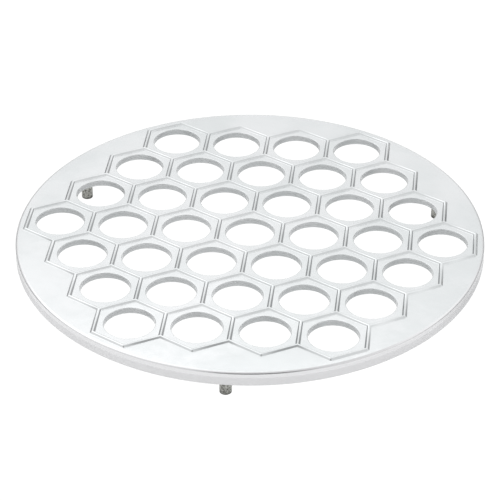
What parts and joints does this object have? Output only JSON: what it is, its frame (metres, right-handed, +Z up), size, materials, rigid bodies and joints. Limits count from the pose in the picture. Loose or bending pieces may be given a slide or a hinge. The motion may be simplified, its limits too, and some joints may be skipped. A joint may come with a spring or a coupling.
{
  "type": "dumpling mould",
  "caption": "Round cast plate with a honeycomb of low ridges round cutting holes, a turned-down rim and pin legs, for shaping filled dumplings.",
  "frame": {"origin": "on the table under the middle of the plate, level with the feet of the three legs", "axes": "+Z up, square to the plate; X along the rows of cells; the front leg stands on -Y"},
  "size_m": [0.2458, 0.2458, 0.0207],
  "materials": {
    "cast_aluminium": "satin as-cast, bright",
    "leg_metal": "dull dark grey, lightly speckled"
  },
  "bodies": {
    "root": {"mould_plate": "cast_aluminium", "leg_front": "leg_metal", "leg_back_right": "leg_metal", "leg_back_left": "leg_metal"}
  },
  "joints": []
}
